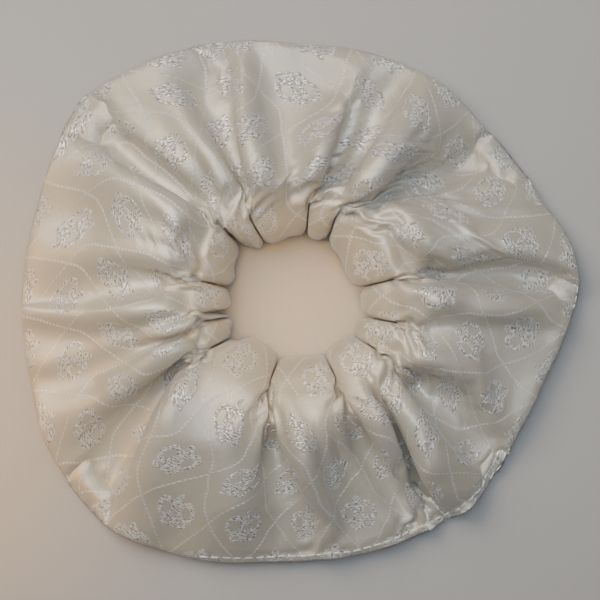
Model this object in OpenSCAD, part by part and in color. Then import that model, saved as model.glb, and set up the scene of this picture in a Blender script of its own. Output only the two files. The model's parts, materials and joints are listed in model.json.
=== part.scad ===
// A fabric scrunchie lying flat: a gathered tube of cloth around a ring of flat elastic.
// The cloth and the elastic are cut into equal sections that slide apart as the ring stretches.
// Origin: centre of the hair opening, on the surface that the scrunchie lies on. +Z is up.

/* [Ring] */
// Number of sections that the cloth and the elastic are divided into
section_count = 12; // [8:1:16]
// Direction of the seam that closes the tube into a ring, in degrees from +X
seam_angle = -60; // [-90:15:90]
// Radius of the relaxed hair opening
hole_r = 13.5; // [11:0.5:16]

/* [Casing] */
// Height of the gathered cloth over the surface
height = 24; // [20:1:30]
// Effective thickness of the gathered cloth
wall = 0.7; // [0.5:0.1:1]
// Radius at which the gathered cloth is highest
crown_r = 28; // [25:1:32]
// Height of the outer edge over the surface
edge_z = 6.5; // [5:0.5:9]
// Width of the pressed outer edge, which holds the seam allowance
edge_band = 4; // [3:0.5:6]

/* [Elastic] */
// Radius of the middle of the relaxed elastic ring
elastic_r = 22; // [20:0.5:24]
// Width of the flat elastic
elastic_w = 6; // [4:1:8]
// Thickness of the flat elastic
elastic_t = 1.2; // [0.8:0.2:1.6]
// Length over which the two ends of the elastic overlap
overlap_len = 9; // [6:1:10]

/* [Thread] */
// Diameter of the sewing thread
thread_d = 0.3; // [0.2:0.05:0.4]
// Distance from one stitch to the next
stitch_pitch = 2.5; // [2:0.25:3.5]
// Distance of the closing stitches from the outer edge
closing_inset = 2; // [1.5:0.25:2.5]
// Direction of the first closing stitch, in degrees from +X
closing_from = -112; // [-118:1:-92]
// Direction of the last closing stitch, in degrees from +X
closing_to = -38; // [-58:1:-32]
// Length of the thread tail at the closing seam
tail_len = 4.5; // [3:0.5:6]

/* [Hidden] */
// Radius of the outer edge of each section, counterclockwise from the seam
reach = [54, 55, 57.5, 55.5, 54, 54, 58.5, 57.5, 57.5, 58.5, 54, 54];
step = 360 / section_count;
// The slit between two sections is an angle, because they part along a radial plane
slit = 0.5;
edge_half = wall + 0.2;
groove = 0.5;
wall_low = 7;
wall_high = height - 7;
base_in = hole_r + 8;
base_out = crown_r + 8;
outline_steps = 8;
elastic_z = height / 2;
overlap_section = 4;
overlap_turn = overlap_len / elastic_r * 180 / PI;
overlap_start = seam_angle + step * (overlap_section - 0.5) - overlap_turn / 2;
// Clearance between two layers, or between a thread and what it lies on
lay = 0.03;
stitch_len = stitch_pitch - 2 * thread_d;
zigzag_rows = 4;
// Turns about +Z from the seam to the cross seam's stitches, and to the thread tail
seam_turn = 0.5;
tail_turn = 0.45;
$fn = 16;

function section_name(stem, k) = str(stem, "_", k < 10 ? "0" : "", k);
function section_start(k) = seam_angle + step * (k - 1);
function section_end(k) = seam_angle + step * k;
function section_reach(k) = reach[(k - 1) % len(reach)];
function stitch_turn(r) = stitch_pitch / r * 180 / PI;

// The whole turns by which the closing stitches run through section k, if they do
function closing_turns(k) =
    [for (turn = [0, 360])
        if (section_start(k) - turn < closing_to && section_end(k) - turn > closing_from) turn];

// Points of an elliptic corner from angle a0 to a1, about [r, z]
function corner(r, z, semi_r, semi_z, a0, a1) =
    [for (i = [0:outline_steps])
        let (a = a0 + (a1 - a0) * i / outline_steps)
        [r + semi_r * cos(a), z + semi_z * sin(a)]];

// Points of a slope that leaves [r0, z0] level and steepens towards [r1, z1]
function slope(r0, z0, r1, z1, last = outline_steps) =
    [for (i = [1:last])
        let (t = i / outline_steps)
        [r0 + (r1 - r0) * t, z1 + (z0 - z1) * cos(90 * t)]];

function reversed(points) = [for (i = [len(points) - 1:-1:0]) points[i]];

// Points of the lens-shaped tip where the top and the base of the cavity meet
function plain_tip(r) = [[r, edge_z]];

// Points of the pressed outer edge, with the narrow groove that the folded seam leaves in it
function pressed_tip(r) = [
    [r - edge_band, edge_z + edge_half],
    [r, edge_z + edge_half],
    [r, edge_z + groove / 2],
    [r - groove, edge_z + groove / 2],
    [r - groove, edge_z - groove / 2],
    [r, edge_z - groove / 2],
    [r, edge_z - edge_half],
    [r - edge_band, edge_z - edge_half]
];

// Outline of the tube, inset by a margin: an upright inner wall, a crowned top and a flat base.
// The top and the base slope to the first and last points of the tip.
function tube_outline(margin, tip) =
    let (
        inner = hole_r + margin,
        top = height - margin,
        above = tip[0],
        below = tip[len(tip) - 1]
    )
    concat(
        corner(crown_r, wall_high, crown_r - inner, top - wall_high, 180, 90),
        slope(crown_r, top, above[0], above[1]),
        [for (i = [1:1:len(tip) - 1]) tip[i]],
        reversed(slope(base_out, margin, below[0], below[1], outline_steps - 1)),
        [[base_out, margin]],
        corner(base_in, wall_low, base_in - inner, wall_low - margin, 270, 180)
    );

module casing(k) {
    r = section_reach(k);
    color("ivory")
        rotate([0, 0, section_start(k) + slit / 2])
            rotate_extrude(angle = step - slit)
                difference() {
                    polygon(tube_outline(0, pressed_tip(r)));
                    polygon(tube_outline(wall, plain_tip(r - edge_band)));
                }
}

module elastic(k) {
    color("white")
        rotate([0, 0, section_start(k) + slit / 2])
            rotate_extrude(angle = step - slit)
                translate([elastic_r - elastic_t / 2, elastic_z - elastic_w / 2])
                    square([elastic_t, elastic_w]);
}

// One visible length of thread, lying along the ring at angle a
module stitch(r, a, z, length = stitch_len, lean = 0) {
    rotate([0, 0, a])
        translate([r, 0, z])
            rotate([90 + lean, 0, 0])
                cylinder(h = length, d = thread_d, center = true);
}

// Lockstitches of the long seam, in the groove of the outer edge
module seam_thread(k) {
    r = section_reach(k) - groove / 2;
    turn = stitch_turn(r);
    color("snow")
        for (a = [section_start(k) + turn / 2 + slit : turn : section_end(k) - turn / 2 - slit])
            stitch(r, a, edge_z);
}

// Closing stitches: needle thread on top of the outer edge and bobbin thread below it
module closing_thread(k) {
    r = section_reach(k) - closing_inset;
    turn = stitch_turn(r);
    shift = closing_turns(k)[0];
    first = max(section_start(k), closing_from + shift) + turn / 2 + slit;
    last = min(section_end(k), closing_to + shift) - turn / 2 - slit;
    color("snow")
        for (a = [first:turn:last], side = [-1, 1])
            stitch(r, a, edge_z + side * (edge_half + thread_d / 2 + lay));
}

// The second layer where the two ends of the elastic lie over each other
module elastic_overlap() {
    color("white")
        rotate([0, 0, overlap_start])
            rotate_extrude(angle = overlap_turn)
                translate([elastic_r + elastic_t / 2 + lay, elastic_z - elastic_w / 2])
                    square([elastic_t, elastic_w]);
}

// Zigzag stitches over the overlap: needle thread outside, bobbin thread inside
module elastic_join_thread() {
    inner = elastic_r - elastic_t / 2 - thread_d / 2 - lay;
    outer = elastic_r + 1.5 * elastic_t + lay + thread_d / 2 + lay;
    columns = floor(overlap_len / stitch_pitch);
    rise = elastic_w / (zigzag_rows + 1);
    color("snow")
        for (r = [inner, outer], column = [1:columns], row = [1:zigzag_rows])
            stitch(
                r,
                overlap_start + overlap_turn * column / (columns + 1),
                elastic_z - elastic_w / 2 + rise * row,
                stitch_len * 0.8,
                row % 2 == 0 ? 25 : -25
            );
}

// A row of stitches from point a to point b of the tube's outline
module stitch_row(a, b) {
    run = b - a;
    count = ceil(norm(run) / stitch_pitch);
    pitch = norm(run) / count;
    translate([a[0], 0, a[1]])
        rotate([0, atan2(run[0], run[1]), 0])
            for (i = [0:count - 1])
                translate([0, 0, i * pitch + thread_d])
                    cylinder(h = pitch - 2 * thread_d, d = thread_d);
}

// Stitches that join the two ends of the tube, all round its inside next to the seam
module cross_seam_thread() {
    line = tube_outline(wall + thread_d, plain_tip(section_reach(1) - edge_band - 3));
    count = len(line);
    color("snow")
        rotate([0, 0, section_start(1) + slit + seam_turn])
            for (i = [0:count - 1])
                stitch_row(line[i], line[(i + 1) % count]);
}

// The end of the closing thread, lying outwards on the outer edge
module thread_tail() {
    r = section_reach(1) - edge_band + lay;
    z = edge_z + edge_half + thread_d / 2 + lay;
    color("snow")
        rotate([0, 0, section_start(1) + tail_turn])
            translate([r, 0, z])
                rotate([0, 90, 0])
                    cylinder(h = tail_len, d = thread_d);
}

for (k = [1:section_count]) {
    casing(k);
    elastic(k);
    seam_thread(k);
    if (len(closing_turns(k)) > 0)
        closing_thread(k);
}
elastic_overlap();
elastic_join_thread();
cross_seam_thread();
thread_tail();
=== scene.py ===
"""Looks of a satin jacquard scrunchie: cloth laid in given folds, then simulated round the CAD part."""
import json
import math

import bmesh
import bpy
import numpy as np
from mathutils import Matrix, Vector
from mathutils.bvhtree import BVHTree


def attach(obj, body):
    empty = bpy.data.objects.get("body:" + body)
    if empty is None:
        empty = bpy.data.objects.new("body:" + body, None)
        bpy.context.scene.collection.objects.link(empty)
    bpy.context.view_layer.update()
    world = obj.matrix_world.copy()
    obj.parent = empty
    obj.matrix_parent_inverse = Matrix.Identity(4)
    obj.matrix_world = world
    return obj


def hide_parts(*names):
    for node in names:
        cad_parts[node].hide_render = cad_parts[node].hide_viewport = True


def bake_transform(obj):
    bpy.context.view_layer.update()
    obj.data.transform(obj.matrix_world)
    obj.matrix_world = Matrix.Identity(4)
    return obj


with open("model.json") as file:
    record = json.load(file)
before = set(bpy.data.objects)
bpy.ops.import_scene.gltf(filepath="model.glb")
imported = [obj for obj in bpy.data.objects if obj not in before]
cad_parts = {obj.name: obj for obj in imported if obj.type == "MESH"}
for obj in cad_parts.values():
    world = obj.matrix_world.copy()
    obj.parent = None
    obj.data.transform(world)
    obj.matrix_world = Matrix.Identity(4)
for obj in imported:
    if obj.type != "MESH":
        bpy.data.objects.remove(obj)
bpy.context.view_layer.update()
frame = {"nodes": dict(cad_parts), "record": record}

# Lengths are in millimetres and angles in degrees, counterclockwise from +X, unless a name says otherwise.
MM = 0.001

# The cut of the cloth: a strip sewn into a tube, whose long seam lies on the outer edge
TUBE_LENGTH = 400
TUBE_GIRTH = 104
ROWS = 52
COLUMNS = 210
FINER = 2  # points of the finished cloth for each simulated one, along and round the tube

SEAM_ANGLE = -60
SECTIONS = len([name for name in frame["nodes"] if name.startswith("casing_")])
STEP = 360 / SECTIONS

# Distances round the tube are given out of this many, from the outer edge over the top, and
# scale with its girth
ROUND = 96


def ring_span(node):
    """Inner and outer radius, and lowest and highest point, of a CAD node."""
    points = np.array([v.co for v in frame["nodes"][node].data.vertices]) / MM
    radii = np.hypot(points[:, 0], points[:, 1])
    return radii.min(), radii.max(), points[:, 2].min(), points[:, 2].max()


ELASTIC_IN, ELASTIC_OUT, ELASTIC_LOW, ELASTIC_HIGH = ring_span("elastic_01")
ELASTIC_R = (ELASTIC_IN + ELASTIC_OUT) / 2
ELASTIC_MID = (ELASTIC_LOW + ELASTIC_HIGH) / 2

# ---------------- the folds, placed one by one

# Every ridge and valley round the ring, from the cross seam on: its angle at radii of 16, 24,
# 34, 44 and 56, its lift there (1 is the top of a ridge, -1 the bottom of a valley), and the
# radius at which it meets the hair opening
FOLDS = [
    ((-44, -49, -54.5, -57, -56), (0, -.1, -.8, -1, -.5), 11.2),
    ((-39, -42, -44.5, -50.5, -51), (.5, .3, .6, .9, .5), 11.5),
    ((-32, -33, -35, -39, -43), (-1, -1, -.8, -.6, -.3), 13.5),
    ((-22, -22, -22, -23, -26), (.7, .7, .6, .5, .2), 12.3),
    ((-12, -10, -8, -8, -10), (-1, -.2, .1, .2, .1), 15.5),
    ((0, 3, -1, -3, -5), (.9, .9, .4, .5, .3), 12.3),
    ((14, 14, 12, 7, 1), (-1, -.9, -1, -1, -.2), 14.5),
    ((28, 32, 27, 18, 6), (.8, .9, .9, .9, .5), 10.9),
    ((42, 44, 40, 28, 16), (.5, .8, .4, .2, .2), 11.8),
    ((54, 51, 45, 33, 22), (.8, .6, .1, -.2, -.1), 12.7),
    ((67, 58, 50, 40, 32), (-1, -.5, -.8, -1, -.4), 16),
    ((70, 62, 60, 59, 57), (-.2, .8, 1, 1, .6), 14.3),
    ((77, 73, 71, 69, 66), (.5, -.6, -1, -.5, .1), 13.2),
    ((85, 83, 78, 74, 71), (-1, -.7, -.5, 0, .1), 15),
    ((90, 87, 82, 78, 75), (.7, .9, .9, .4, .2), 13.8),
    ((98, 96, 94, 90, 86), (.6, .2, .3, .5, .1), 13.9),
    ((110, 111, 109, 106, 101), (.8, .9, .9, .8, .4), 13.2),
    ((121, 119, 114, 110, 108), (-.7, -.8, -.6, -.5, -.3), 15),
    ((126, 124, 122, 122, 120), (.3, .4, .6, .5, .3), 13.8),
    ((131, 130, 130, 132, 132), (0, -.5, .2, .3, .2), 16),
    ((136, 137.5, 139, 138.5, 137), (-1, -1, -1, -1, -.6), 20),
    ((145, 145, 146, 148, 150), (.9, .9, .8, .6, .3), 16.6),
    ((153, 153, 154, 159, 164), (.8, .8, .6, 0, 0), 15.7),
    ((160, 160, 161, 168, 172), (.8, .7, .5, .3, .2), 14.5),
    ((168, 169.5, 174, 178, 180), (-1, -.8, -.4, -.1, .1), 17.5),
    ((178, 180, 183, 183, 181), (.8, .4, .6, .3, .5), 14.6),
    ((186, 186, 189, 189, 188), (.5, .1, .3, 0, .1), 14.6),
    ((191, 191, 192, 193, 193), (.7, .7, .4, .1, .1), 14.8),
    ((195, 195.5, 196, 197, 198), (.1, -.5, .2, 0, -.1), 15.3),
    ((200, 200, 202, 204, 206), (.4, .8, .6, .3, .3), 15.5),
    ((207, 208, 214, 219, 224), (-1, -1, -1, -.9, -.4), 18),
    ((212, 214.5, 222, 230, 234), (.5, .7, .8, .8, .4), 15.3),
    ((222, 226, 232, 240, 244), (.6, .7, .7, .5, -.2), 12),
    ((234, 238, 244, 251, 256), (.8, .7, .7, .8, -.1), 11.2),
    ((249, 254, 261, 268, 272), (-1, -.8, -.7, -.3, -.2), 13.5),
    ((262, 267, 272, 276, 277), (.9, .9, .9, .6, .2), 11.2),
    ((274, 276, 280, 283, 284), (.8, .7, .3, 0, -.1), 11),
    ((286, 285, 286, 289, 291), (.9, .4, -.1, -.1, .1), 11.2),
    ((295, 292, 293, 296, 297), (-.7, -.4, -.9, -.8, -.2), 12.2),
    ((304, 305, 302, 300, 299), (.7, .9, .5, -.2, .1), 11),
]
ANGLES = np.array([fold[0] for fold in FOLDS], float)
LIFTS = np.array([fold[1] for fold in FOLDS], float)
LIPS = np.array([fold[2] for fold in FOLDS], float)

# Outline of the outer edge: (angle, radius)
OUTLINE = [
    (4, 57.6), (13, 56.9), (22, 54.1), (33, 52.7), (45, 52.2), (58, 53.4), (74, 53.3), (90, 52.9),
    (106, 55.7), (122, 58.6), (130, 60), (137, 61.8), (142, 60.6), (148, 59.4), (160, 57.6),
    (172, 57.2), (185, 57.3), (196, 57.8), (210, 60), (225, 60.8), (231, 60.8), (240, 58.6),
    (251, 56.5), (262, 54), (275, 53.2), (288, 53.5), (300, 53.9), (310, 55), (318, 53.6),
    (330, 52.2), (342, 52.6), (352, 54.6),
]
OUTLINE_MEAN = 56.5
RIM_ROUNDING = .3  # what smoothing takes off the edge
# How far the section follows the outline, at distances round the tube
OUTLINE_AT = np.array([0, 24, 40, 56, 76, 96]) * TUBE_GIRTH / ROUND
OUTLINE_SHARE = [1, .55, 0, 0, .55, 1]

# The tube's mean section: at each distance round it, over the top to the hair opening and back
# below, its radius, its height, the way out of the cloth, and the length of cloth in one turn
# of the ring
SECTION_AT = np.array([0, 8, 16, 24, 32, 38, 43, 48, 53, 58, 64, 72, 80, 88, 96]) * TUBE_GIRTH / ROUND
SECTION_R = np.array([56.5, 49.5, 42.5, 35, 27.5, 21.5, 17, 14, 13.3, 15.5, 21.5, 31, 40.5, 49, 56.5])
SECTION_Z = np.array([4.5, 8, 12.3, 15.6, 17.2, 17, 14.4, 10.8, 7, 4.2, 4.3, 5.2, 5.2, 4.8, 4.5])
OUT_R = np.array([0, 0, 0, 0, -.15, -.5, -.85, -1, -.87, -.5, 0, 0, 0, 0, 0])
OUT_Z = np.array([1, 1, 1, 1, .99, .87, .5, 0, -.5, -.87, -1, -.95, -.95, -.7, 1])
TURN_LENGTH = np.array([378, 388, 396, 398, 390, 380, 370, 365, 370, 380, 385, 395, 396, 388, 378])

# How closely the cloth is gathered round the ring: (angle, share of the even gathering)
GATHERING = [(0, .97), (30, 1.1), (60, .88), (90, .88), (120, .99), (150, 1.04), (180, .95),
             (210, 1), (240, 1.06), (270, .99), (300, .97), (330, .98)]

# Distances round the tube at which fold_row places the fold lines
FOLDS_AT = np.array([0, 14, 25, 36, 43, 48, 58, 72, 86, 96]) * TUBE_GIRTH / ROUND
MEAN_SHARE, OWN_SHARE = .3, .7  # a row takes its cloth as the mean row does, and as its folds ask
WALL_FROM, WALL_TO = 45, 61  # the part of the section that the elastic holds gathered
WALL_EASE = 13  # over which the wall's own shape fades out
WALL_R = 13.3
LIP_RANGE = 2.5  # how far in or out of WALL_R a lip counts as a full ridge or valley
# Fold lines that stay closed creases at the hair opening: the deep ones, and a shallow one
SHALLOW_CREASE = 26
CREASES = (LIFTS[:, 0] <= -.7) | (np.arange(len(FOLDS)) == SHALLOW_CREASE)
TUCK_TO = 20.6  # the cloth inside those creases reaches back to the elastic
TUCK_HALF = .15  # half the width of a tuck
TUCK_FAN = .4  # how far the rows spread up and down for each distance that they are tucked in
LEAST_INWARD = .5  # limits the tucks of rows that face up or down rather than inwards
BLUNTNESS = 1.8  # of a lobe, over a plain quarter oval
BLUNT_RISE = 2  # height from which a lobe is fully blunt
MOST_DEEP = 16  # from the top of a ridge to the bottom of a valley
FLOOR_GAP = .4
ELASTIC_GAP = .6
ELASTIC_REACH = 1  # from the middle of the elastic to its sides, and a little more
VALLEY_GAP = 4  # between the floor and the deepest valleys of the upper layer
VALLEY_EASE = 10  # distance from the edge over which that gap opens
TOP_TO, BASE_FROM = WALL_FROM + 5, WALL_TO - 3  # the layers above and below the elastic

# ---------------- the cloth before it settles


def smooth_curve(at, stations, values):
    """Values, given at stations, at one place on a smooth curve through them."""
    k = int(np.clip(np.searchsorted(stations, at) - 1, 0, len(stations) - 2))
    span = stations[k + 1] - stations[k]
    t = (at - stations[k]) / span

    def slope(i):
        low, high = max(i - 1, 0), min(i + 1, len(stations) - 1)
        return (values[high] - values[low]) / (stations[high] - stations[low]) * span

    return ((2 * t**3 - 3 * t**2 + 1) * values[k] + (t**3 - 2 * t**2 + t) * slope(k)
            + (3 * t**2 - 2 * t**3) * values[k + 1] + (t**3 - t**2) * slope(k + 1))


def ease(x):
    """0 up to x = 0, 1 from x = 1, and smooth between."""
    x = np.clip(x, 0, 1)
    return x * x * (3 - 2 * x)


# A half fold is an S-curve, whose heading swings to a largest tilt and back like half a sine wave
TILTS = np.linspace(0, 2.35, 236)
SWING = np.linspace(0, math.pi, 401)
SPANS = np.array([np.trapz(np.cos(tilt * np.sin(SWING)), SWING) for tilt in TILTS]) / math.pi
RISES = np.array([np.trapz(np.sin(tilt * np.sin(SWING)), SWING) for tilt in TILTS]) / math.pi


def half_folds(span, rise):
    """Length of cloth and largest tilt of the S-curves with these spans and rises."""
    tilt = np.interp(rise / np.maximum(span, 1e-6), RISES / np.maximum(SPANS, 1e-6), TILTS)
    reach = np.hypot(np.interp(tilt, TILTS, SPANS), np.interp(tilt, TILTS, RISES))
    return np.hypot(span, rise) / reach, tilt


def s_curve(tilt, share):
    """How far along and how high an S-curve has come at each share of its length."""
    at = np.linspace(0, 1, 65)
    heading = tilt * np.sin(math.pi * at)
    along = np.concatenate([[0], np.cumsum(np.cos(heading[1:]) + np.cos(heading[:-1]))])
    across = np.concatenate([[0], np.cumsum(np.sin(heading[1:]) + np.sin(heading[:-1]))])
    return np.interp(share, at, along) / 128, np.interp(share, at, across / max(across[-1], 1e-6))


def lobe_side(span, rise):
    """The side of a blunt lobe, which leaves a narrow crease steeply and ends level."""
    blunt = 1 + BLUNTNESS * ease(rise / BLUNT_RISE)
    turn = np.linspace(0, math.pi / 2, 65)
    along = (1 - np.cos(turn) ** (2 / blunt)) * span
    up = np.sin(turn) ** (2 / blunt) * rise
    length = np.concatenate([[0], np.cumsum(np.hypot(np.diff(along), np.diff(up)))])
    return along, up, length


def lobe_point(span, rise, share, hidden, tuck):
    """How far along and up the side of a lobe has come at each share of its cloth, of which the
    hidden part lies tucked back into the crease."""
    along, up, length = lobe_side(span, rise)
    shown = np.clip((share - hidden) / (1 - hidden), 0, 1) * length[-1]
    deep = np.clip(1 - share / max(hidden, 1e-6), 0, 1)
    half = min(TUCK_HALF, span / 3) if hidden else 0
    open_along = half + np.interp(shown, length, along) * (span - half) / span
    return (np.where(deep > 0, half * (1 - deep**4), open_along),
            np.where(deep > 0, -tuck * deep, np.interp(shown, length, up)))


def wall_shares(span, offset, cloth):
    """Each half fold's share of the cloth where lobes meet the hair opening, and how much of it
    is tucked away. A lobe keeps its own cloth, and shows what its outline needs."""
    length = np.array([lobe_side(w, abs(h))[2][-1] for w, h in zip(span, np.diff(offset))])
    hidden = np.zeros(len(FOLDS))
    creases = np.flatnonzero(CREASES)
    for first, last in zip(creases, np.append(creases[1:], creases[0] + len(FOLDS))):
        lobe = np.arange(first, last) % len(FOLDS)
        spare = cloth[lobe].sum() * TUBE_LENGTH - length[lobe].sum()
        if spare > 0:
            hidden[lobe[0]] += spare / 2
            hidden[lobe[-1]] += spare / 2
    length += hidden
    return length / length.sum(), hidden / length


def fold_row(at):
    """One row of cloth along the ring, as half folds from line to line. The hidden lower layer
    has ridges and valleys in turn, at blends of the upper layer's angles."""
    rim, far, middle, near, lip = (ANGLES[:, i] for i in (4, 3, 2, 1, 0))
    places = np.array([rim, far, middle, near, lip, lip, .8 * lip + .2 * near,
                       .5 * near + .5 * middle, .6 * far + .4 * rim, rim])
    angle = smooth_curve(at, FOLDS_AT, places)
    wall = np.clip((WALL_R - LIPS) / LIP_RANGE, -1, 1)
    nested = np.where(np.arange(len(FOLDS)) % 2, -1, 1)
    lifts = np.array([LIFTS[:, 4], LIFTS[:, 3], LIFTS[:, 2], LIFTS[:, 1],
                      .8 * LIFTS[:, 0] + .2 * wall, wall, wall, nested, nested, LIFTS[:, 4]])
    lift = np.array([np.interp(at, FOLDS_AT, column) for column in lifts.T])
    turn = np.maximum(np.diff(np.append(angle, angle[0] + 360)), .3)
    turn *= 360 / turn.sum()
    angle = angle[0] + np.concatenate([[0], np.cumsum(turn)[:-1]])
    radius = smooth_curve(at, SECTION_AT, SECTION_R)
    held = ease(1 - max(WALL_FROM - at, at - WALL_TO) / WALL_EASE)
    span = np.radians(turn) * radius
    low = 0
    high = MOST_DEEP if at < WALL_TO else 2 * (smooth_curve(at, SECTION_AT, SECTION_Z) - FLOOR_GAP)
    for _ in range(40):
        deep = (low + high) / 2
        length, _ = half_folds(span, deep * np.abs(np.diff(np.append(lift, lift[0]))) / 2)
        if length.sum() < np.interp(at, SECTION_AT, TURN_LENGTH):
            low = deep
        else:
            high = deep
    offset = (1 - held) * deep * lift / 2 + held * (WALL_R - LIPS)
    offset = np.append(offset, offset[0])
    length, tilt = half_folds(span, np.abs(np.diff(offset)))
    return {"at": at, "angle": angle, "radius": radius, "offset": offset, "length": length,
            "tilt": tilt, "held": held, "span": span}


def gathered_cloth():
    """The points of the gathered tube, and its rows as half folds."""
    rows = [fold_row(k * TUBE_GIRTH / ROWS) for k in range(ROWS)]
    shares = np.array([row["length"] / row["length"].sum() for row in rows])
    mean = shares[[row["held"] == 0 for row in rows]].mean(0)
    hidden = np.zeros_like(shares)
    for k, row in enumerate(rows):
        wall, tucked = wall_shares(row["span"], row["offset"], mean)
        shares[k] = (1 - row["held"]) * (MEAN_SHARE * mean + OWN_SHARE * shares[k]) + row["held"] * wall
        hidden[k] = row["held"] * tucked
        shares[k] *= np.interp(row["angle"], *np.array(GATHERING, float).T, period=360)
        shares[k] /= shares[k].sum()
    outline_angle = np.radians([p[0] for p in OUTLINE])
    outline_r = np.array([p[1] for p in OUTLINE]) + RIM_ROUNDING
    points = np.zeros((ROWS, COLUMNS, 3))
    for k, row in enumerate(rows):
        starts = np.concatenate([[0], np.cumsum(shares[k])])
        at = np.arange(COLUMNS) / COLUMNS
        fold = np.clip(np.searchsorted(starts, at, side="right") - 1, 0, len(FOLDS) - 1)
        angle, offset = np.zeros(COLUMNS), np.zeros(COLUMNS)
        out_r = smooth_curve(row["at"], SECTION_AT, OUT_R)
        for i in range(len(FOLDS)):
            inside = fold == i
            share = (at[inside] - starts[i]) / shares[k][i]
            along, across = s_curve(row["tilt"][i], share)
            rise = row["offset"][i + 1] - row["offset"][i]
            up, end = rise > 0, i if rise > 0 else (i + 1) % len(FOLDS)
            tuck = max(0, TUCK_TO - row["radius"] - out_r * row["offset"][end]) / max(-out_r, LEAST_INWARD)
            side_along, side_up = lobe_point(row["span"][i], abs(rise), share if up else 1 - share,
                                             hidden[k][i], tuck)
            if not up:
                side_along, side_up = row["span"][i] - side_along, side_up + rise
            along = (1 - row["held"]) * along * row["length"][i] + row["held"] * side_along
            height = (1 - row["held"]) * across * rise + row["held"] * side_up
            angle[inside] = math.radians(row["angle"][i]) + along / row["radius"]
            offset[inside] = row["offset"][i] + height
        far = np.interp(angle, outline_angle, outline_r, period=2 * math.pi) - OUTLINE_MEAN
        spread = np.interp(row["at"], OUTLINE_AT, OUTLINE_SHARE)
        radius = row["radius"] + far * spread + out_r * offset
        fanned = np.where(offset < 0, (1 - row["held"] * (1 + TUCK_FAN)) * offset, offset)
        level = (smooth_curve(row["at"], SECTION_AT, SECTION_Z)
                 + smooth_curve(row["at"], SECTION_AT, OUT_Z) * fanned)
        over = np.abs(radius - ELASTIC_R) < ELASTIC_REACH + ELASTIC_GAP
        if row["at"] < TOP_TO:
            level = np.maximum(level, VALLEY_GAP * ease(row["at"] / VALLEY_EASE))
            level = np.where(over, np.maximum(level, ELASTIC_HIGH + ELASTIC_GAP), level)
        if row["at"] > BASE_FROM:
            level = np.where(over, np.minimum(level, ELASTIC_LOW - ELASTIC_GAP), level)
        points[k] = np.stack([radius * np.cos(angle), radius * np.sin(angle),
                              np.maximum(level, FLOOR_GAP)], 1)
    return points, rows


# ---------------- cloth simulation

SIM_SCALE = 0.02  # simulated at 20 times its size, where the solver's steps suit it
SIM_FRAMES = 30
RIM_HOLD = 1
LEAST_HOLD = .02


def grid_faces(rows, columns):
    """Quads of a grid that closes on itself both ways."""
    k, i = np.meshgrid(np.arange(rows), np.arange(columns), indexing="ij")
    down, right = (k + 1) % rows, (i + 1) % columns
    return np.stack([k * columns + i, k * columns + right, down * columns + right,
                     down * columns + i], -1).reshape(-1, 4)


def grid_object(name, points, scale):
    """A mesh object from a grid of points that closes on itself both ways."""
    mesh = bpy.data.meshes.new(name)
    mesh.from_pydata((points.reshape(-1, 3) * scale).tolist(), [],
                     grid_faces(*points.shape[:2]).tolist())
    made = bpy.data.objects.new(name, mesh)
    bpy.context.scene.collection.objects.link(made)
    return made


def flat_tube(rows):
    """The same cloth, unfolded into two flat layers, which is what its threads pull back to."""
    turn = np.arange(COLUMNS) / COLUMNS * 2 * math.pi
    points = np.zeros((ROWS, COLUMNS, 3))
    for k, row in enumerate(rows):
        at = row["at"]
        half = TUBE_GIRTH / 2
        side = 1 if at <= half else -1
        apart = side * min(1, min(at, abs(half - at), TUBE_GIRTH - at) / 2)
        radius = np.interp(at, SECTION_AT, TURN_LENGTH) / (2 * math.pi) + apart
        points[k] = np.stack([radius * np.cos(turn), radius * np.sin(turn),
                              np.full(COLUMNS, half - abs(half - at))], 1)
    return points


def collider(made, friction):
    """Makes an object one that the cloth can't pass through."""
    made.modifiers.new("Collision", "COLLISION")
    made.collision.thickness_outer = .005
    made.collision.cloth_friction = friction
    return made


def elastic_ring():
    """The elastic as a rounded ring for the cloth to lie on."""
    half_r = (ELASTIC_OUT - ELASTIC_IN) / 2 + .7
    half_z = (ELASTIC_HIGH - ELASTIC_LOW) / 2 + .4
    round_it = np.linspace(0, 2 * math.pi, 12, endpoint=False)
    turn = np.linspace(0, 2 * math.pi, 64, endpoint=False)
    radius = ELASTIC_R + half_r * np.cos(round_it)[:, None]
    height = ELASTIC_MID + half_z * np.sign(np.sin(round_it)) * np.abs(np.sin(round_it)) ** .6
    points = np.stack([radius * np.cos(turn), radius * np.sin(turn),
                       np.repeat(height[:, None], 64, 1)], -1)
    return grid_object("elastic_collider", points, SIM_SCALE)


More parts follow.
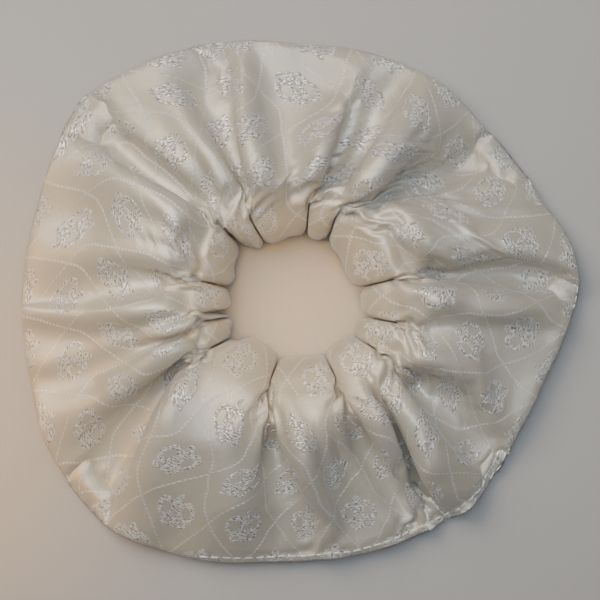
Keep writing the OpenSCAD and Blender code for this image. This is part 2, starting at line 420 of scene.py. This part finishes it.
def settle(points, rows):
    """The gathered cloth after it has eased, sagged and met itself, the elastic and the floor.
    Its outer edge and the wall of the hair opening are held where they were placed."""
    cloth = grid_object("cloth_sim", points, SIM_SCALE)
    cloth.shape_key_add(name="Basis")
    flat = cloth.shape_key_add(name="flat")
    flat.data.foreach_set("co", (flat_tube(rows).reshape(-1) * SIM_SCALE))
    held = cloth.vertex_groups.new(name="held")
    for k, row in enumerate(rows):
        if row["held"] > LEAST_HOLD:
            held.add(list(range(k * COLUMNS, (k + 1) * COLUMNS)), float(row["held"] ** 2), "REPLACE")
    held.add(list(range(COLUMNS)), RIM_HOLD, "REPLACE")
    modifier = cloth.modifiers.new("Cloth", "CLOTH")
    settings = modifier.settings
    settings.rest_shape_key = flat
    settings.vertex_group_mass = "held"
    settings.quality = 6
    settings.pin_stiffness = 2
    settings.mass = .15
    settings.air_damping = 2
    settings.tension_stiffness = settings.compression_stiffness = 25
    settings.shear_stiffness = 8
    settings.bending_model = "ANGULAR"
    settings.bending_stiffness = 8
    settings.tension_damping = settings.compression_damping = settings.shear_damping = 8
    settings.bending_damping = 1
    settings.effector_weights.gravity = .3
    contact = modifier.collision_settings
    contact.collision_quality = 2
    contact.distance_min = .008
    contact.use_self_collision = True
    contact.self_distance_min = .012
    contact.self_friction = 5
    bpy.ops.mesh.primitive_plane_add(size=10)
    helpers = [collider(bpy.context.object, 5), collider(elastic_ring(), 5)]
    scene = bpy.context.scene
    scene.frame_start, scene.frame_end = 1, SIM_FRAMES
    modifier.point_cache.frame_start, modifier.point_cache.frame_end = 1, SIM_FRAMES
    for number in range(1, SIM_FRAMES + 1):
        scene.frame_set(number)
    shape = cloth.evaluated_get(bpy.context.evaluated_depsgraph_get()).to_mesh()
    settled = np.zeros(ROWS * COLUMNS * 3)
    shape.vertices.foreach_get("co", settled)
    for helper in [cloth, *helpers]:
        bpy.data.objects.remove(helper)
    scene.frame_set(1)
    return settled.reshape(ROWS, COLUMNS, 3) / SIM_SCALE


# ---------------- the finished cloth


SMOOTHING = .1  # 0 keeps the simulated points, 1 smooths them most


def refined(points, axis):
    """FINER times as many points along an axis, on a smooth surface close to the points."""
    around = [np.roll(points, shift, axis) for shift in (1, 0, -1, -2)]
    parts = []
    for step in range(FINER):
        t = step / FINER
        near = np.array([(1 - t) ** 3, 3 * t**3 - 6 * t**2 + 4, -3 * t**3 + 3 * t**2 + 3 * t + 1, t**3])
        through = np.array([-t + 2 * t**2 - t**3, 2 - 5 * t**2 + 3 * t**3, t + 4 * t**2 - 3 * t**3,
                            t**3 - t**2])
        weights = SMOOTHING * near / 6 + (1 - SMOOTHING) * through / 2
        parts.append(sum(w * p for w, p in zip(weights, around)))
    shape = list(points.shape)
    shape[axis] *= FINER
    return np.stack(parts, axis + 1).reshape(shape)


def outward(points):
    """The unit normals of a closed grid of points."""
    along = np.roll(points, -1, 1) - np.roll(points, 1, 1)
    across = np.roll(points, -1, 0) - np.roll(points, 1, 0)
    normal = np.cross(along, across)
    return normal / np.maximum(np.linalg.norm(normal, axis=2, keepdims=True), 1e-9)


CLOSING_FROM, CLOSING_TO = -112, -38  # the part of the edge that was sewn last, from outside
CLOSING_EASE = 6
CLOSING_INSET = 2
PRESSED = .35  # from the middle of the pressed edge to either layer


def pressed_edge(points):
    """Lays the two layers flat on each other along the part of the edge that was sewn last."""
    row_gap = TUBE_GIRTH / len(points)
    angle = np.degrees(np.arctan2(points[0, :, 1], points[0, :, 0]))
    strength = ease((angle - CLOSING_FROM) / CLOSING_EASE) * ease((CLOSING_TO - angle) / CLOSING_EASE)
    for k in range(1, math.ceil(2 * CLOSING_INSET / row_gap) + 1):
        share = strength * ease(2 - k * row_gap / CLOSING_INSET)
        middle = (points[k] + points[-k]) / 2
        for row, side in ((k, 1), (-k, -1)):
            flat = middle + np.array([0, 0, side * PRESSED])
            points[row] += (flat - points[row]) * share[:, None]
    return points


SEAM_GROOVE = .35
CLOTH_LIFT = .15  # of the lowest cloth off the floor


def finished_cloth():
    """Points and normals of the cloth, with the grooves of its two seams."""
    points, rows = gathered_cloth()
    points = settle(points, rows)
    points = refined(refined(points, 0), 1)
    points = pressed_edge(points)
    normals = outward(points)
    points[:, 0] -= SEAM_GROOVE * normals[:, 0]
    points[0] -= SEAM_GROOVE / 2 * normals[0]
    points[..., 2] = np.maximum(points[..., 2], CLOTH_LIFT)
    return points, outward(points)


def on_cloth(points, normals, along, across, lift):
    """The point at a distance along and across the tube, lifted off the cloth."""
    k = across / TUBE_GIRTH * points.shape[0]
    i = along / TUBE_LENGTH * points.shape[1]
    k0, i0 = math.floor(k), math.floor(i)
    spot = np.zeros(3)
    for row, near_k in ((k0, 1 - k + k0), (k0 + 1, k - k0)):
        for column, near_i in ((i0, 1 - i + i0), (i0 + 1, i - i0)):
            cell = row % points.shape[0], column % points.shape[1]
            spot += near_k * near_i * (points[cell] + lift * normals[cell])
    return spot


# ---------------- pieces, one for each joint of the ring


def piece_of(x, y):
    """The number of the piece, and of the joint, whose stretch of the ring a point lies in."""
    turned = (math.degrees(math.atan2(y, x)) - SEAM_ANGLE) % 360
    return int(np.clip((turned - STEP / 2) // STEP + 1, 1, SECTIONS - 1))


def bend(made, number, slot_name, *nodes):
    """Bakes a piece's transform and hides the CAD nodes that it stands for; the joint's number is not
    used.
    """
    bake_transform(made)
    if nodes:
        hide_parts(*nodes)


def sections_of(number):
    """The sections that a piece stands for: the last one stands for two."""
    return [number, SECTIONS] if number == SECTIONS - 1 else [number]


def mesh_object(name, points, faces, uvs, material, normals=None):
    """A smooth mesh object, with a UV for each corner of each face, in metres."""
    mesh = bpy.data.meshes.new(name)
    mesh.from_pydata([tuple(p) for p in points], [], faces)
    layer = mesh.uv_layers.new(name="cloth")
    layer.data.foreach_set("uv", np.array(uvs, float).reshape(-1))
    mesh.polygons.foreach_set("use_smooth", [True] * len(mesh.polygons))
    mesh.materials.append(material)
    if normals is not None:
        mesh.normals_split_custom_set_from_vertices([tuple(n) for n in normals])
    made = bpy.data.objects.new(name, mesh)
    bpy.context.scene.collection.objects.link(made)
    return made


def divided_cloth(points, material):
    """The cloth as one open piece for each joint, with the joins between them out of sight."""
    whole = bmesh.new()
    verts = [whole.verts.new(p * MM) for p in points.reshape(-1, 3)]
    layer = whole.loops.layers.uv.new("cloth")
    rows, columns = points.shape[:2]
    for k in range(rows):
        for i in range(columns):
            corners = [(k, i), (k, i + 1), (k + 1, i + 1), (k + 1, i)]
            face = whole.faces.new([verts[(a % rows) * columns + b % columns] for a, b in corners])
            for loop, (a, b) in zip(face.loops, corners):
                loop[layer].uv = (b / columns * TUBE_LENGTH * MM, a / rows * TUBE_GIRTH * MM)
    for number in range(SECTIONS // 2):
        angle = math.radians(SEAM_ANGLE + (number + .5) * STEP)
        bmesh.ops.bisect_plane(whole, geom=whole.verts[:] + whole.edges[:] + whole.faces[:],
                               dist=1e-7, plane_co=(0, 0, 0),
                               plane_no=(-math.sin(angle), math.cos(angle), 0))
    whole.normal_update()
    whole.verts.index_update()
    parts = {number: [] for number in range(1, SECTIONS)}
    for face in whole.faces:
        centre = face.calc_center_median()
        parts[piece_of(centre.x, centre.y)].append(face)
    for number, faces in parts.items():
        used = sorted({v.index: v for f in faces for v in f.verts}.items())
        place = {index: n for n, (index, _) in enumerate(used)}
        corners = [[loop[layer].uv for loop in face.loops] for face in faces]
        piece = mesh_object(
            f"cloth_{number:02d}", [v.co for _, v in used],
            [[place[v.index] for v in face.verts] for face in faces],
            [uv for c in corners for uv in c], material, [v.normal for _, v in used])
        bend(piece, number, "satin", *[f"casing_{k:02d}" for k in sections_of(number)])
    whole.free()


# ---------------- threads and elastic

THREAD_SIDES = 8
THREAD_TIP = .35  # the share of its radius that a thread has at its ends


def tubes(name, paths, radius, material):
    """Round threads along several paths, as one mesh with pointed ends."""
    points, faces, uvs = [], [], []
    for path in paths:
        path = np.array(path)
        ahead = np.gradient(path, axis=0)
        ahead /= np.linalg.norm(ahead, axis=1, keepdims=True)
        side = np.cross(ahead, [0, 0, 1.0])
        side[np.linalg.norm(side, axis=1) < 1e-3] = [1, 0, 0]
        side /= np.linalg.norm(side, axis=1, keepdims=True)
        up = np.cross(side, ahead)
        length = np.concatenate([[0], np.cumsum(np.linalg.norm(np.diff(path, axis=0), axis=1))])
        first = len(points)
        for k in range(len(path)):
            thin = THREAD_TIP if k in (0, len(path) - 1) else 1
            for j in range(THREAD_SIDES):
                turn = 2 * math.pi * j / THREAD_SIDES
                round_it = math.cos(turn) * side[k] + math.sin(turn) * up[k]
                points.append((path[k] + radius * thin * round_it) * MM)
        for k in range(len(path) - 1):
            for j in range(THREAD_SIDES):
                corners = [(k, j), (k, j + 1), (k + 1, j + 1), (k + 1, j)]
                faces.append([first + a * THREAD_SIDES + b % THREAD_SIDES for a, b in corners])
                uvs += [(length[a] * MM, b / THREAD_SIDES * 2 * math.pi * radius * MM)
                        for a, b in corners]
        for k, order in ((0, -1), (len(path) - 1, 1)):
            ring = [first + k * THREAD_SIDES + j for j in range(THREAD_SIDES)][::order]
            faces.append(ring)
            uvs += [(length[k] * MM, 0)] * THREAD_SIDES
    return mesh_object(name, points, faces, uvs, material)


THREAD_R = .15
STITCH_PITCH = 2.5
STITCH_POINTS = 7
STITCH_HIGH = .4 * THREAD_R  # of a closing stitch's middle over the cloth
STITCH_DIP = 1.3 * THREAD_R  # of its ends into the cloth
SEAM_DEPTH = .35  # of the long seam's thread, inside the edge
INWARD_ROWS = 3  # from the edge to the cloth that shows which way is inwards
BESIDE_SEAM = 1  # from the cross seam's groove to its stitches


def closing_stitch(points, normals, along, across, length):
    """One stitch along the cloth: its ends dip into the cloth and its middle stands high."""
    path = []
    for t in np.linspace(-.5, .5, STITCH_POINTS):
        lift = STITCH_HIGH - (STITCH_HIGH + STITCH_DIP) * (2 * abs(t)) ** 4
        path.append(on_cloth(points, normals, along + t * length, across, lift))
    return path


def thread_pieces(name, node, paths, material):
    """Threads as one piece for each joint, by where their middles lie. A piece stands for the CAD
    nodes of its sections or, where the thread is a single node, the first piece does."""
    groups = {}
    for path in paths:
        middle = path[len(path) // 2]
        groups.setdefault(piece_of(middle[0], middle[1]), []).append(path)
    for number, group in sorted(groups.items()):
        stands_for = [f"{node}_{k:02d}" for k in sections_of(number)]
        if number == min(groups):
            stands_for.append(node)
        bend(tubes(f"{name}_{number:02d}", group, THREAD_R, material), number, "thread",
             *[known for known in stands_for if known in frame["nodes"]])


def edge_angle(points, along):
    """The direction in which a place on the outer edge lies from the middle of the ring."""
    edge = points[0, int(along / TUBE_LENGTH * points.shape[1]) % points.shape[1]]
    return math.degrees(math.atan2(edge[1], edge[0]))


def seam_stitches(points, material):
    """The long seam's stitches in the groove of the outer edge."""
    length = STITCH_PITCH - 4 * THREAD_R
    inside = (points[INWARD_ROWS] + points[-INWARD_ROWS]) / 2 - points[0]
    inside /= np.linalg.norm(inside, axis=1, keepdims=True)
    line = points[0] + SEAM_DEPTH * inside
    stations = np.arange(len(line) + 1) / len(line) * TUBE_LENGTH
    line = np.concatenate([line, line[:1]])
    paths = [[np.array([np.interp(along + t * length, stations, axis) for axis in line.T])
              for t in np.linspace(-.5, .5, STITCH_POINTS)]
             for along in np.arange(STITCH_PITCH, TUBE_LENGTH - STITCH_PITCH, STITCH_PITCH)]
    thread_pieces("seam_stitches", "seam_thread", paths, material)


def closing_stitches(points, normals, material):
    """Stitches along the pressed edge: needle thread above it and bobbin thread below."""
    paths = []
    length = STITCH_PITCH - 2 * THREAD_R
    for along in np.arange(STITCH_PITCH / 2, TUBE_LENGTH, STITCH_PITCH):
        if CLOSING_FROM < edge_angle(points, along) < CLOSING_TO:
            for across in (CLOSING_INSET, -CLOSING_INSET):
                paths.append(closing_stitch(points, normals, along, across, length))
    thread_pieces("closing_stitches", "closing_thread", paths, material)


def cross_stitches(points, normals, material):
    """The stitches that join the two ends of the tube, on the inside next to their groove."""
    length = STITCH_PITCH - 2 * THREAD_R
    paths = []
    for across in np.arange(STITCH_PITCH / 2, TUBE_GIRTH, STITCH_PITCH):
        paths.append([on_cloth(points, normals, BESIDE_SEAM, across + t * length,
                               -THREAD_R * (1.6 + 2 * abs(t)))
                      for t in np.linspace(-.5, .5, STITCH_POINTS)])
    thread_pieces("cross_seam_stitches", "cross_seam_thread", paths, material)


# The thread's loose end on the closing seam: (angle, radius, height over the cloth) from its root
TAIL_ROUTE = [(-59.1, 49.6, 0), (-59.0, 50.4, .25), (-59.3, 51.4, .35), (-59.8, 52.4, .3),
              (-60, 53.3, .35), (-59.7, 54, .6)]
TAIL_STRANDS = 3
TAIL_APART = .22  # from one strand to the next
TAIL_LIFT = .12  # of the strands' middles over the cloth
TAIL_POINTS = 22


def thread_tail(points, material):
    """The closing thread's loose end, a few strands that lie outwards on the edge."""
    surface = BVHTree.FromPolygons([tuple(p) for p in points.reshape(-1, 3)],
                                   grid_faces(*points.shape[:2]).tolist())
    paths = []
    for strand in range(TAIL_STRANDS):
        aside = (strand - 1) * TAIL_APART
        path = []
        for n, (angle, radius, high) in enumerate(TAIL_ROUTE):
            shift = math.radians(angle) + aside * (1 + .5 * n) / 2 / radius
            x, y = radius * math.cos(shift), radius * math.sin(shift)
            hit = surface.ray_cast(Vector((x, y, 60)), Vector((0, 0, -1)))[0]
            low = hit.z if hit else path[-1][2] - .3
            path.append((x, y, low + TAIL_LIFT + high + .1 * (strand == 1)))
        curve = np.array(path)
        stations = np.arange(len(curve), dtype=float)
        paths.append([smooth_curve(t, stations, curve)
                      for t in np.linspace(0, len(curve) - 1, TAIL_POINTS)])
    tail = tubes("thread_tail_strands", paths, THREAD_R * .8, material)
    number = piece_of(*np.mean([p[:2] for p in paths[1]], axis=0))
    bend(tail, number, "thread", "thread_tail")


RIBS = 7
RIB_DEEP = .16
RIB_POINTS = 6
SELVEDGE = .3  # how much thinner the elastic is at its edges, on either side
STRIP_STEP = .75  # degrees of the ring in each of the elastic's faces


def elastic_outline(low, high, inner, outer):
    """Section of the braided elastic: flat, with a rib for each of its rubber cores."""
    steps = RIBS * RIB_POINTS
    rise = np.linspace(0, 1, steps + 1)
    height = low + (high - low) * rise
    rib = RIB_DEEP * (1 - np.abs(np.sin(math.pi * RIBS * rise)))
    edge = SELVEDGE * (2 * np.abs(rise - .5)) ** 16
    out_side = np.stack([outer - rib - edge, height], 1)
    in_side = np.stack([inner + rib + edge, height], 1)
    return np.concatenate([out_side, in_side[::-1]])


def elastic_strip(name, section, start, end, material):
    """A length of elastic along the ring, closed at both ends."""
    steps = max(2, int((end - start) / STRIP_STEP))
    angles = np.radians(np.linspace(start, end, steps + 1))
    size = len(section)
    points = [(r * math.cos(a) * MM, r * math.sin(a) * MM, z * MM) for a in angles for r, z in section]
    lengths = np.concatenate([[0], np.cumsum(np.linalg.norm(np.diff(section, axis=0), axis=1))])
    lengths = np.append(lengths, lengths[-1] + np.linalg.norm(section[0] - section[-1])) * MM
    faces, uvs = [], []
    for k in range(steps):
        for j in range(size):
            corners = [(k, j), (k + 1, j), (k + 1, j + 1), (k, j + 1)]
            faces.append([a * size + b % size for a, b in corners])
            uvs += [(angles[a] * ELASTIC_R * MM, lengths[b]) for a, b in corners]
    faces += [list(range(size)), [steps * size + j for j in range(size)][::-1]]
    uvs += [(0, 0)] * (2 * size)
    return mesh_object(name, points, faces, uvs, material)


def elastic(material):
    """The elastic ring as one piece for each joint, and the layer where its ends overlap."""
    section = elastic_outline(ELASTIC_LOW, ELASTIC_HIGH, ELASTIC_IN, ELASTIC_OUT)
    for number in range(1, SECTIONS):
        start = SEAM_ANGLE + (number - .5) * STEP if number > 1 else SEAM_ANGLE
        end = SEAM_ANGLE + (number + .5) * STEP if number < SECTIONS - 1 else SEAM_ANGLE + 360
        strip = elastic_strip(f"elastic_band_{number:02d}", section, start, end, material)
        bend(strip, number, "elastic", *[f"elastic_{k:02d}" for k in sections_of(number)])
    inner, outer, low, high = ring_span("elastic_overlap")
    points = np.array([v.co for v in frame["nodes"]["elastic_overlap"].data.vertices])
    angles = np.degrees(np.arctan2(points[:, 1], points[:, 0]))
    overlap = elastic_strip("elastic_end", elastic_outline(low, high, inner, outer),
                            angles.min(), angles.max(), material)
    body = next(name for name, nodes in frame["record"]["behaviour"]["bodies"].items()
                if "elastic_overlap" in nodes)
    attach(overlap, body)
    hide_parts("elastic_overlap")


# ---------------- materials


class Graph:
    """Short ways to add and join shader nodes."""

    def __init__(self, name):
        self.material = bpy.data.materials.new(name)
        self.material.use_nodes = True
        self.tree = self.material.node_tree
        self.shader = self.tree.nodes["Principled BSDF"]

    def join(self, value, socket):
        if isinstance(value, bpy.types.NodeSocket):
            self.tree.links.new(value, socket)
        else:
            socket.default_value = value

    def node(self, kind, output=0, inputs=(), **settings):
        node = self.tree.nodes.new(kind)
        for key, value in settings.items():
            setattr(node, key, value)
        for key, value in dict(inputs).items():
            self.join(value, node.inputs[key])
        return node.outputs[output]

    def math(self, operation, *values):
        return self.node("ShaderNodeMath", 0, dict(enumerate(values)), operation=operation)

    def vector(self, operation, *values):
        return self.node("ShaderNodeVectorMath", 0, dict(enumerate(values)), operation=operation)

    def scaled(self, vector, factor):
        scaled = self.vector("SCALE", vector)
        scaled.node.inputs["Scale"].default_value = factor
        return scaled

    def separate(self, vector):
        node = self.tree.nodes.new("ShaderNodeSeparateXYZ")
        self.join(vector, node.inputs[0])
        return node.outputs[0], node.outputs[1]

    def noise(self, vector, scale, detail=2.0, roughness=.5):
        return self.node("ShaderNodeTexNoise", 0,
                         {"Vector": vector, "Scale": scale, "Detail": detail, "Roughness": roughness})

    def ramp(self, value, low, high, to_low=0.0, to_high=1.0):
        return self.node("ShaderNodeMapRange", 0,
                         {0: value, 1: low, 2: high, 3: to_low, 4: to_high},
                         interpolation_type="SMOOTHSTEP")

    def blend(self, share, a, b):
        node = self.tree.nodes.new("ShaderNodeMix")
        node.data_type = "RGBA"
        self.join(share, node.inputs[0])
        self.join(a, node.inputs[6])
        self.join(b, node.inputs[7])
        return node.outputs[2]

    def bump(self, height, distance, normal=None):
        inputs = {"Height": height, "Distance": distance}
        if normal is not None:
            inputs["Normal"] = normal
        return self.node("ShaderNodeBump", 0, inputs)

    def surface(self, **inputs):
        for key, value in inputs.items():
            self.join(value, self.shader.inputs[key.replace("_", " ")])
        return self.material


# The jacquard's repeat: a lattice of thin lines, and a looped sprig in each of its diamonds
REPEAT_ALONG = 16.0
REPEAT_ACROSS = 23.0
LATTICE_DRIFT = 1.2  # how far the pattern strays from its straight lines
LINE_DASH = .8  # from one visible thread of a lattice line to the next
TWILL_PITCH = .45
YARN_PITCH = .55  # of the elastic's braid


def oval(graph, x, y, centre, half):
    """Distance from an oval's edge in millimetres, about: negative inside it."""
    across = graph.math("DIVIDE", graph.math("SUBTRACT", x, centre[0]), half[0])
    up = graph.math("DIVIDE", graph.math("SUBTRACT", y, centre[1]), half[1])
    size = graph.math("SQRT", graph.math("ADD", graph.math("MULTIPLY", across, across),
                                         graph.math("MULTIPLY", up, up)))
    return graph.math("MULTIPLY", graph.math("SUBTRACT", size, 1.0), min(half))


def sprig(graph, x, y):
    """1 on the woven sprig: a leaf, a bud, and a loop and a curl on either side of them."""
    x = graph.math("ABSOLUTE", x)
    leaf = oval(graph, x, y, (0, 2.3), (1.0, 2.3))
    bud = oval(graph, x, y, (0, -2.5), (.75, 1.6))
    loop = graph.math("SUBTRACT", graph.math("ABSOLUTE", oval(graph, x, y, (2.3, .3), (1.5, 2.1))), .5)
    curl = graph.math("SUBTRACT", graph.math("ABSOLUTE", oval(graph, x, y, (1.7, -2.7), (.9, 1.0))), .4)
    shape = graph.math("MINIMUM", graph.math("MINIMUM", leaf, bud), graph.math("MINIMUM", loop, curl))
    return graph.ramp(shape, .12, -.12)


def satin_material():
    """Ivory satin jacquard: fine weave, raised lattice lines and sprigs, soft small creases, with painted
    glints on the sprigs and lines and painted shade between the sprig's floats.
    """
    graph = Graph("satin_jacquard")
    place = graph.scaled(graph.node("ShaderNodeUVMap", uv_map="cloth"), 1 / MM)
    drift = graph.node("ShaderNodeTexNoise", 1, {"Vector": place, "Scale": .12})
    wander = graph.scaled(graph.vector("SUBTRACT", drift, (.5, .5, .5)), LATTICE_DRIFT)
    along, across = graph.separate(graph.vector("ADD", place, wander))

    def cell(value, repeat, shift):
        return graph.math("SUBTRACT", graph.math("FLOORED_MODULO", graph.math("ADD", value, shift),
                                                 repeat), repeat / 2)

    x1, y1 = cell(along, REPEAT_ALONG, 0), cell(across, REPEAT_ACROSS, 0)
    x2 = cell(along, REPEAT_ALONG, REPEAT_ALONG / 2)
    y2 = cell(across, REPEAT_ACROSS, REPEAT_ACROSS / 2)
    share_x = graph.math("DIVIDE", graph.math("ABSOLUTE", x1), REPEAT_ALONG / 2)
    share_y = graph.math("DIVIDE", graph.math("ABSOLUTE", y1), REPEAT_ACROSS / 2)
    apart = graph.math("SUBTRACT", graph.math("ADD", share_x, share_y), 1.0)
    inside = graph.math("LESS_THAN", apart, 0.0)
    outside = graph.math("SUBTRACT", 1.0, inside)
    to_mm = REPEAT_ALONG * REPEAT_ACROSS / 4 / math.hypot(REPEAT_ALONG / 2, REPEAT_ACROSS / 2)
    distance = graph.math("MULTIPLY", graph.math("ABSOLUTE", apart), to_mm)
    dots = graph.math("SINE", graph.math("MULTIPLY", across, 2 * math.pi / LINE_DASH))
    line = graph.math("MULTIPLY", graph.ramp(graph.math("ABSOLUTE", graph.math(
        "SUBTRACT", distance, .12)), .13, .05), graph.ramp(dots, -1.0, .6, .2, 1.0))

    def pick(a, b):
        return graph.math("ADD", graph.math("MULTIPLY", a, inside), graph.math("MULTIPLY", b, outside))

    figure = sprig(graph, pick(x1, x2), pick(y1, y2))
    specks = graph.noise(graph.vector("MULTIPLY", place, (1.3, 3.2, 0)), 1.0, 2.0, .6)
    # Bright specks are painted glints on the sprig's thread floats, which the same mask also makes shinier
    # and raised; dark specks are painted shade in the gaps between floats, which are also sunk.
    floats_and_glints = graph.math("MULTIPLY", figure, graph.ramp(specks, .47, .55))
    gaps_and_shade = graph.math("MULTIPLY", figure, graph.ramp(specks, .47, .40))
    # The woven lattice lines get the same painted glint colour.
    floats_and_glints = graph.math("MAXIMUM", floats_and_glints, graph.math("MULTIPLY", line, .7))
    weave = graph.math("SINE", graph.math("MULTIPLY", graph.math("ADD", along, graph.math(
        "MULTIPLY", across, 1.7)), 2 * math.pi / TWILL_PITCH))
    slub = graph.noise(graph.vector("MULTIPLY", place, (.3, 3.5, 0)), 1.0, 3.0, .6)
    crease = graph.noise(graph.vector("MULTIPLY", place, (.30, .12, 0)), 1.0, 3.0, .5)
    shade = graph.noise(place, .07, 2.0)
    ground = graph.blend(shade, (.55, .50, .405, 1), (.62, .57, .475, 1))
    ground = graph.blend(graph.math("MULTIPLY", slub, .15), ground, (.48, .43, .35, 1))
    # Painted shade in the sprig's gaps, then painted glints on its floats and on the lattice lines.
    colour = graph.blend(graph.math("MULTIPLY", gaps_and_shade, .8), ground, (.22, .19, .15, 1))
    colour = graph.blend(graph.math("MULTIPLY", floats_and_glints, .9), colour, (1, .99, .95, 1))
    rough = graph.math("MULTIPLY_ADD", slub, .10, .32)
    rough = graph.math("SUBTRACT", rough, graph.math("MULTIPLY", floats_and_glints, .12))
    relief = graph.math("SUBTRACT", floats_and_glints, graph.math("MULTIPLY", gaps_and_shade, .6))
    normal = graph.bump(crease, .12 * MM)
    normal = graph.bump(slub, .02 * MM, normal)
    normal = graph.bump(weave, .012 * MM, normal)
    normal = graph.bump(relief, .08 * MM, normal)
    tangent = graph.node("ShaderNodeTangent", direction_type="UV_MAP", uv_map="cloth")
    return graph.surface(Base_Color=colour, Roughness=rough, Normal=normal, Tangent=tangent,
                         Anisotropic=.4, Metallic=.3, Sheen_Weight=.35, Sheen_Roughness=.3,
                         Sheen_Tint=(.75, .85, 1, 1), Specular_IOR_Level=.8)


def thread_material():
    """Polyester sewing thread: plies that twist round it, and slight fuzz."""
    graph = Graph("sewing_thread")
    place = graph.node("ShaderNodeTexCoord", 3)
    ply = graph.node("ShaderNodeTexWave", 1, {"Vector": place, "Scale": 420.0, "Distortion": 1.5,
                                              "Detail": 2.0}, bands_direction="DIAGONAL")
    fuzz = graph.noise(place, 3000.0, 3.0)
    # Darker where the ply bump is low: painted shade in the grooves between plies.
    colour = graph.blend(ply, (.74, .70, .62, 1), (.9, .88, .82, 1))
    normal = graph.bump(fuzz, .02 * MM, graph.bump(ply, .05 * MM))
    return graph.surface(Base_Color=colour, Roughness=graph.ramp(fuzz, .3, .7, .5, .75),
                         Normal=normal, Sheen_Weight=.2)


def elastic_material():
    """White braided elastic: herringbone yarns over its rubber cores."""
    graph = Graph("braided_elastic")
    uv = graph.scaled(graph.node("ShaderNodeUVMap", uv_map="cloth"), 1 / MM)
    along, across = graph.separate(uv)
    zigzag = graph.math("PINGPONG", across, (ELASTIC_HIGH - ELASTIC_LOW) / RIBS / 2)
    yarn = graph.math("SINE", graph.math("MULTIPLY", graph.math("ADD", along, zigzag),
                                         2 * math.pi / YARN_PITCH))
    fuzz = graph.noise(uv, 4.0, 4.0, .6)
    # Darker where the yarn bump is low: painted shade in the grooves between yarns.
    colour = graph.blend(graph.ramp(yarn, -1, 1), (.70, .70, .68, 1), (.9, .9, .88, 1))
    colour = graph.blend(graph.math("MULTIPLY", fuzz, .3), colour, (.8, .77, .7, 1))
    normal = graph.bump(fuzz, .03 * MM, graph.bump(yarn, .09 * MM))
    return graph.surface(Base_Color=colour, Roughness=graph.ramp(fuzz, .3, .7, .6, .8),
                         Normal=normal, Sheen_Weight=.15)


def floor_material():
    """A pale, nearly smooth table top. Its patterns are scaled in metres, as the thread's are."""
    graph = Graph("floor")
    place = graph.node("ShaderNodeTexCoord", 3)
    cloudy = graph.noise(place, 14.0, 3.0)
    grain = graph.noise(place, 900.0, 2.0)
    colour = graph.blend(cloudy, (.39, .367, .342, 1), (.418, .395, .369, 1))
    return graph.surface(Base_Color=colour, Roughness=graph.ramp(grain, .3, .7, .5, .6),
                         Normal=graph.bump(grain, .01 * MM), Specular_IOR_Level=.3)


# ---------------- the object

satin = satin_material()
thread = thread_material()
points, normals = finished_cloth()
elastic(elastic_material())
divided_cloth(points, satin)
seam_stitches(points, thread)
closing_stitches(points, normals, thread)
cross_stitches(points, normals, thread)
thread_tail(points, thread)
join_thread = frame["nodes"]["elastic_join_thread"]
for slot in join_thread.material_slots:
    slot.material = thread

# ---------------- floor, light and camera

FLOOR_SIZE = 1.6  # in metres, as are the places and sizes of the lights

bpy.ops.mesh.primitive_plane_add(size=FLOOR_SIZE)
floor = bpy.context.object
floor.name = "floor"
floor.data.materials.append(floor_material())


def area_light(name, place, target, size, power, colour, spread=180):
    """A square light that points at a target."""
    data = bpy.data.lights.new(name, "AREA")
    data.size = size
    data.spread = math.radians(spread)
    data.energy = power
    data.color = colour
    light = bpy.data.objects.new(name, data)
    light.location = place
    light.rotation_euler = (Vector(target) - Vector(place)).to_track_quat("-Z", "Y").to_euler()
    bpy.context.scene.collection.objects.link(light)


area_light("key", (-.20, .22, .36), (-.03, .05, 0), .32, .56, (1, .87, .70), 90)
area_light("window", (.40, .20, .42), (0, 0, 0), .40, .36, (.70, .82, 1))
area_light("ceiling", (-.03, .08, .6), (-.02, .03, 0), .35, .345, (.70, .84, 1), 56)
area_light("glow", (-.02, .01, .5), (-.001, -.001, 0), .01, .0033, (1, .50, 0), 7)
area_light("left_glow", (-.30, -.02, .25), (-.112, -.02, 0), .08, .042, (1, .48, 0), 20)
world = bpy.data.worlds.new("room")
world.use_nodes = True
world.node_tree.nodes["Background"].inputs[0].default_value = (.70, .56, .38, 1)
world.node_tree.nodes["Background"].inputs[1].default_value = .12
bpy.context.scene.world = world

VIEW_WIDTH = 123.4
VIEW_HEIGHT = 6  # of the outer edge, at which the picture is VIEW_WIDTH wide
CAMERA_UP = 520
CAMERA_SHIFT = (-.1, .5)
SENSOR = 36
camera_data = bpy.data.cameras.new("camera")
camera_data.sensor_width = SENSOR
camera_data.lens = SENSOR * (CAMERA_UP - VIEW_HEIGHT) / VIEW_WIDTH
camera_data.clip_start = .01
camera = bpy.data.objects.new("camera", camera_data)
camera.location = (CAMERA_SHIFT[0] * MM, CAMERA_SHIFT[1] * MM, CAMERA_UP * MM)
bpy.context.scene.collection.objects.link(camera)
bpy.context.scene.camera = camera
